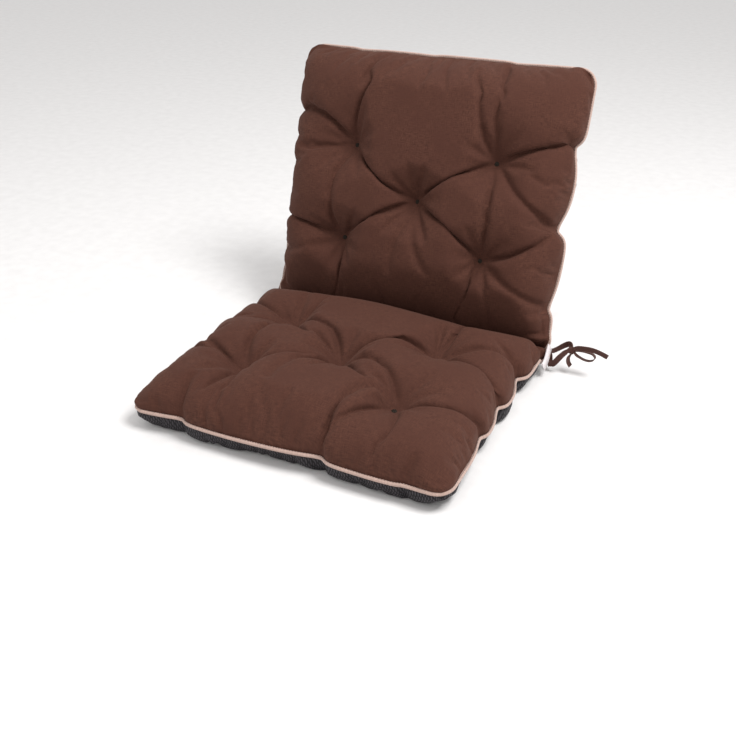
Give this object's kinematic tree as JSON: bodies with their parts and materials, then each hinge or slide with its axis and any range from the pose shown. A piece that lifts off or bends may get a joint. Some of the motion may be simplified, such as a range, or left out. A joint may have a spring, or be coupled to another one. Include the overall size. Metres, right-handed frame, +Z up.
{
  "type": "chair seat pad",
  "caption": "Folding tufted chair pad: a seat cushion and a back cushion joined at a sewn fold, with piping, buttons, and tape ties at the fold corners.",
  "frame": {"origin": "centre of the seat cushion's flat underside", "axes": "+Z up, -Y towards the front of the seat, +X to the right of someone facing the chair"},
  "size_m": [0.6219, 0.5959, 0.4462],
  "materials": {
    "brown_cloth": "matt linen-look weave",
    "grip_cloth": "matt non-slip cloth with raised dots",
    "fibre_fill": "loose white fibre",
    "piping_cord": "soft twisted cord",
    "piping_cloth": "matt bias-cut cloth",
    "label_satin": "satin",
    "tie_tape": "matt folded cloth tape",
    "twine": "waxed twine",
    "button": "matt"
  },
  "bodies": {
    "seat": {"seat_top_panel": "brown_cloth", "seat_under_panel": "grip_cloth", "seat_fill": "fibre_fill", "seat_piping": "piping_cloth", "seat_piping_cord": "piping_cord", "fold_strip": "brown_cloth", "care_label": "label_satin", "tie_right_front_tape": "tie_tape", "tie_right_rear_tape": "tie_tape", "tie_right_knot": "tie_tape", "tie_left_front_tape": "tie_tape", "tie_left_rear_tape": "tie_tape", "tie_left_knot": "tie_tape", "seat_button_1": "button", "seat_button_2": "button", "seat_button_3": "button", "seat_button_4": "button", "seat_button_5": "button", "seat_under_button_1": "button", "seat_under_button_2": "button", "seat_under_button_3": "button", "seat_under_button_4": "button", "seat_under_button_5": "button", "seat_twine_1": "twine", "seat_twine_2": "twine", "seat_twine_3": "twine", "seat_twine_4": "twine", "seat_twine_5": "twine"},
    "back": {"back_front_panel": "brown_cloth", "back_rear_panel": "brown_cloth", "back_fill": "fibre_fill", "back_piping": "piping_cloth", "back_piping_cord": "piping_cord", "back_button_1": "button", "back_button_2": "button", "back_button_3": "button", "back_button_4": "button", "back_button_5": "button", "back_rear_button_1": "button", "back_rear_button_2": "button", "back_rear_button_3": "button", "back_rear_button_4": "button", "back_rear_button_5": "button", "back_twine_1": "twine", "back_twine_2": "twine", "back_twine_3": "twine", "back_twine_4": "twine", "back_twine_5": "twine"}
  },
  "joints": [
    {"name": "back_fold", "type": "hinge", "parent": "seat", "child": "back", "pos_m": [0, 0.22, 0.03], "axis": [1, 0, 0], "range_deg": [-71, 34]}
  ]
}
